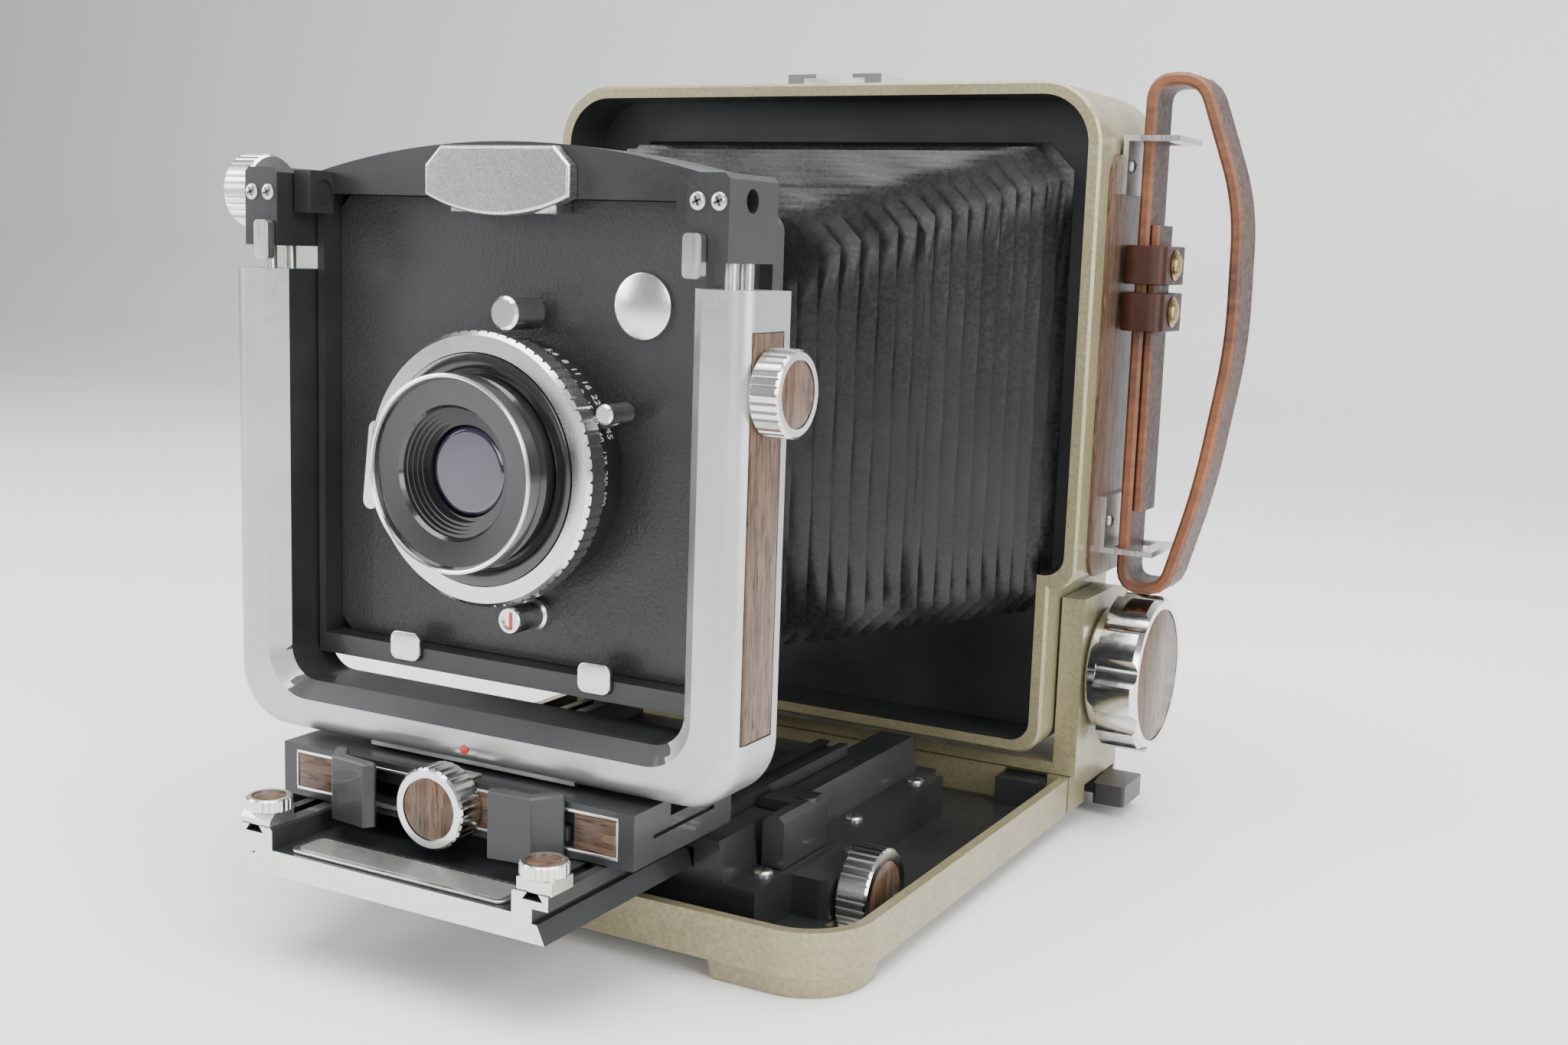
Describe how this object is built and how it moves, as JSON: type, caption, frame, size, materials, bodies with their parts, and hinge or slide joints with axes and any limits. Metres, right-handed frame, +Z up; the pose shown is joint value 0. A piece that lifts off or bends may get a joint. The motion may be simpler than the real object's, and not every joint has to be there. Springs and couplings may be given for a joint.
{
  "type": "folding technical field camera",
  "caption": "Folding metal field camera: tilting rear housing, pleated bellows, drop bed with geared focusing track, shifting and tilting lens standard, leaf-shutter lens.",
  "frame": {"origin": "centre of the mouth of the tripod socket, in the underside of the base, in the resting plane", "axes": "+Z up, -Y towards the scene along the lens axis, +X to the camera's left as its user stands behind it and looks along -Y"},
  "size_m": [0.2363, 0.2603, 0.2227],
  "materials": {
    "hammertone": "hammertone paint on cast alloy",
    "satin_alloy": "satin",
    "machined_alloy": "machined",
    "black_alloy": "satin",
    "chrome_parts": "polished",
    "steel_parts": "satin",
    "brass_parts": "satin",
    "wood_trim": "satin",
    "bellows_leather": "gloss",
    "strap_leather": "satin",
    "lens_glass": "gloss",
    "ground_glass": "matte"
  },
  "bodies": {
    "base": {"base_block": "hammertone", "tripod_plate": "black_alloy", "tripod_bush": "brass_parts", "bed_hinge_pins": "steel_parts"},
    "swing_lock": {"swing_lock_lever": "black_alloy"},
    "bed": {"bed_tray": "hammertone", "bed_guide": "black_alloy", "pinion_bearings": "black_alloy"},
    "focus_drive": {"focus_pinion": "steel_parts", "focus_knobs": "machined_alloy"},
    "track": {"focus_track": "machined_alloy", "track_rack": "brass_parts", "track_stop_wedges": "machined_alloy"},
    "stop_screw_left_body": {"stop_screw_left": "machined_alloy"},
    "stop_screw_right_body": {"stop_screw_right": "machined_alloy"},
    "track_lock": {"track_lock_lever": "black_alloy"},
    "bed_release": {"bed_release_lever": "black_alloy"},
    "carriage": {"carriage_block": "black_alloy"},
    "grip_left": {"squeeze_grip_left": "black_alloy"},
    "grip_right": {"squeeze_grip_right": "black_alloy"},
    "carriage_clamp": {"clamp_knob": "machined_alloy"},
    "shift": {"shift_slide": "satin_alloy"},
    "standard": {"standard_u_frame": "satin_alloy"},
    "rise_lock": {"rise_lock_knob": "machined_alloy"},
    "riser": {"rise_brackets": "black_alloy", "rise_pins_and_trunnions": "steel_parts"},
    "detent_left": {"tilt_detent_lever_left": "steel_parts"},
    "detent_right": {"tilt_detent_lever_right": "steel_parts"},
    "front_tilt_lock": {"front_tilt_knob": "machined_alloy"},
    "front_frame": {"lens_frame": "black_alloy", "lens_board": "black_alloy", "bellows_front_frame": "black_alloy", "shutter_body": "black_alloy", "lens_front_cell": "black_alloy", "lens_glass": "lens_glass", "lens_rear_cell": "black_alloy", "iris_and_shutter_blades": "steel_parts"},
    "board_slider": {"board_latch": "machined_alloy"},
    "speed_ring": {"shutter_speed_ring": "machined_alloy"},
    "aperture": {"aperture_lever": "machined_alloy"},
    "cocking": {"cocking_lever": "black_alloy"},
    "release": {"release_lever": "machined_alloy"},
    "preview_button": {"open_shutter_button": "machined_alloy"},
    "yoke": {"yoke": "hammertone"},
    "housing": {"housing_shell": "hammertone", "housing_side_panels": "wood_trim", "bellows_rear_frame": "black_alloy", "accessory_shoe": "chrome_parts", "strap_brackets": "steel_parts", "carry_strap": "strap_leather", "back_frame": "black_alloy", "back_leaf_springs": "steel_parts", "bellows": "bellows_leather"},
    "rear_knob_left": {"rear_tilt_knob_left": "chrome_parts"},
    "rear_knob_right": {"rear_tilt_knob_right": "chrome_parts"},
    "glass_holder": {"ground_glass_frame": "black_alloy", "ground_glass": "ground_glass", "hood_hinge": "steel_parts"},
    "hood": {"focusing_hood": "black_alloy"},
    "back_lock": {"back_lock_slide": "steel_parts"}
  },
  "joints": [
    {"name": "swing_lock_turn", "type": "hinge", "parent": "base", "child": "swing_lock", "pos_m": [0.074, 0, 0.008], "axis": [0, 0, 1], "range_deg": [-12, 12]},
    {"name": "bed_drop", "type": "hinge", "parent": "base", "child": "bed", "pos_m": [0, -0.0265, 0.012], "axis": [1, 0, 0], "range_deg": [0, 10], "deforming": ["bellows"]},
    {"name": "focus", "type": "slide", "parent": "bed", "child": "track", "axis": [0, 1, 0], "range_m": [-0.03, 0.03], "deforming": ["bellows"]},
    {"name": "focus_knobs_turn", "type": "hinge", "parent": "bed", "child": "focus_drive", "pos_m": [0, -0.137, 0.0119], "axis": [1, 0, 0], "range_deg": [-320, 320]},
    {"name": "stop_screw_left_turn", "type": "hinge", "parent": "track", "child": "stop_screw_left_body", "pos_m": [-0.0396, -0.2234, 0.035], "axis": [0, 0, 1], "continuous": true},
    {"name": "stop_screw_right_turn", "type": "hinge", "parent": "track", "child": "stop_screw_right_body", "pos_m": [0.0396, -0.2234, 0.035], "axis": [0, 0, 1], "continuous": true},
    {"name": "track_lock_turn", "type": "hinge", "parent": "bed", "child": "track_lock", "pos_m": [0.0563, -0.134, 0.02], "axis": [0, 0, 1], "range_deg": [0, 10]},
    {"name": "bed_release_turn", "type": "hinge", "parent": "bed", "child": "bed_release", "pos_m": [0.02, -0.048, 0.01], "axis": [0, 0, 1], "range_deg": [0, 15]},
    {"name": "carriage_travel", "type": "slide", "parent": "track", "child": "carriage", "axis": [0, 1, 0], "range_m": [0, 0.035], "deforming": ["bellows"]},
    {"name": "grip_left_squeeze", "type": "slide", "parent": "carriage", "child": "grip_left", "axis": [1, 0, 0], "range_m": [0, 0.003], "stiffness_N_per_m": 900},
    {"name": "grip_right_squeeze", "type": "slide", "parent": "carriage", "child": "grip_right", "axis": [-1, 0, 0], "range_m": [0, 0.003], "stiffness_N_per_m": 900},
    {"name": "carriage_clamp_turn", "type": "hinge", "parent": "carriage", "child": "carriage_clamp", "pos_m": [0, -0.21, 0.0399], "axis": [0, 1, 0], "continuous": true},
    {"name": "front_shift", "type": "slide", "parent": "carriage", "child": "shift", "axis": [1, 0, 0], "range_m": [-0.012, 0.012], "deforming": ["bellows"]},
    {"name": "front_swing", "type": "hinge", "parent": "shift", "child": "standard", "pos_m": [0, -0.184, 0.046], "axis": [0, 0, 1], "range_deg": [-10, 10], "deforming": ["bellows"]},
    {"name": "rise_lock_turn", "type": "hinge", "parent": "standard", "child": "rise_lock", "pos_m": [0.07, -0.192, 0.1393], "axis": [1, 0, 0], "continuous": true},
    {"name": "front_rise", "type": "slide", "parent": "standard", "child": "riser", "axis": [0, 0, 1], "range_m": [0, 0.025], "deforming": ["bellows"]},
    {"name": "detent_left_turn", "type": "hinge", "parent": "riser", "child": "detent_left", "pos_m": [-0.0602, -0.203, 0.1695], "axis": [0, 1, 0], "range_deg": [-15, 15]},
    {"name": "detent_right_turn", "type": "hinge", "parent": "riser", "child": "detent_right", "pos_m": [0.0602, -0.203, 0.1695], "axis": [0, 1, 0], "range_deg": [-15, 15]},
    {"name": "front_tilt_lock_turn", "type": "hinge", "parent": "riser", "child": "front_tilt_lock", "pos_m": [-0.07, -0.1912, 0.179], "axis": [1, 0, 0], "continuous": true},
    {"name": "front_tilt", "type": "hinge", "parent": "riser", "child": "front_frame", "pos_m": [0, -0.1912, 0.179], "axis": [1, 0, 0], "range_deg": [-3, 8], "deforming": ["bellows"]},
    {"name": "board_slider_lift", "type": "slide", "parent": "front_frame", "child": "board_slider", "axis": [0, 0, 1], "range_m": [0, 0.004]},
    {"name": "speed_ring_turn", "type": "hinge", "parent": "front_frame", "child": "speed_ring", "pos_m": [0, -0.194, 0.1166], "axis": [0, 1, 0], "range_deg": [0, 270]},
    {"name": "aperture_lever_turn", "type": "hinge", "parent": "front_frame", "child": "aperture", "pos_m": [0, -0.194, 0.1166], "axis": [0, 1, 0], "range_deg": [-20, 20]},
    {"name": "cocking_lever_turn", "type": "hinge", "parent": "front_frame", "child": "cocking", "pos_m": [0, -0.194, 0.1166], "axis": [0, 1, 0], "range_deg": [-25, 0], "stiffness_Nm_per_rad": 0.03},
    {"name": "release_lever_turn", "type": "hinge", "parent": "front_frame", "child": "release", "pos_m": [0, -0.194, 0.1166], "axis": [0, 1, 0], "range_deg": [0, 12], "stiffness_Nm_per_rad": 0.05},
    {"name": "preview_button_push", "type": "slide", "parent": "front_frame", "child": "preview_button", "axis": [0, 1, 0], "range_m": [0, 0.0014], "stiffness_N_per_m": 300},
    {"name": "rear_swing", "type": "hinge", "parent": "base", "child": "yoke", "pos_m": [0, 0, 0.017], "axis": [0, 0, 1], "range_deg": [-10, 10], "deforming": ["bellows"]},
    {"name": "rear_tilt", "type": "hinge", "parent": "yoke", "child": "housing", "pos_m": [0, -0.008, 0.0465], "axis": [1, 0, 0], "range_deg": [-10, 10], "deforming": ["bellows"]},
    {"name": "rear_knob_left_turn", "type": "hinge", "parent": "yoke", "child": "rear_knob_left", "pos_m": [-0.1, -0.008, 0.0465], "axis": [1, 0, 0], "continuous": true},
    {"name": "rear_knob_right_turn", "type": "hinge", "parent": "yoke", "child": "rear_knob_right", "pos_m": [0.1, -0.008, 0.0465], "axis": [1, 0, 0], "continuous": true},
    {"name": "glass_holder_pull", "type": "slide", "parent": "housing", "child": "glass_holder", "axis": [0, 1, 0], "range_m": [0, 0.006], "stiffness_N_per_m": 1500, "deforming": ["back_leaf_springs"]},
    {"name": "hood_open", "type": "hinge", "parent": "glass_holder", "child": "hood", "pos_m": [0, 0.0296, 0.187], "axis": [1, 0, 0], "range_deg": [0, 100]},
    {"name": "back_lock_slide_move", "type": "slide", "parent": "housing", "child": "back_lock", "axis": [1, 0, 0], "range_m": [0, 0.004]}
  ],
  "couplings": [
    {"joint": "focus_knobs_turn", "follows": "focus", "rad_per_m": -185.19}
  ]
}
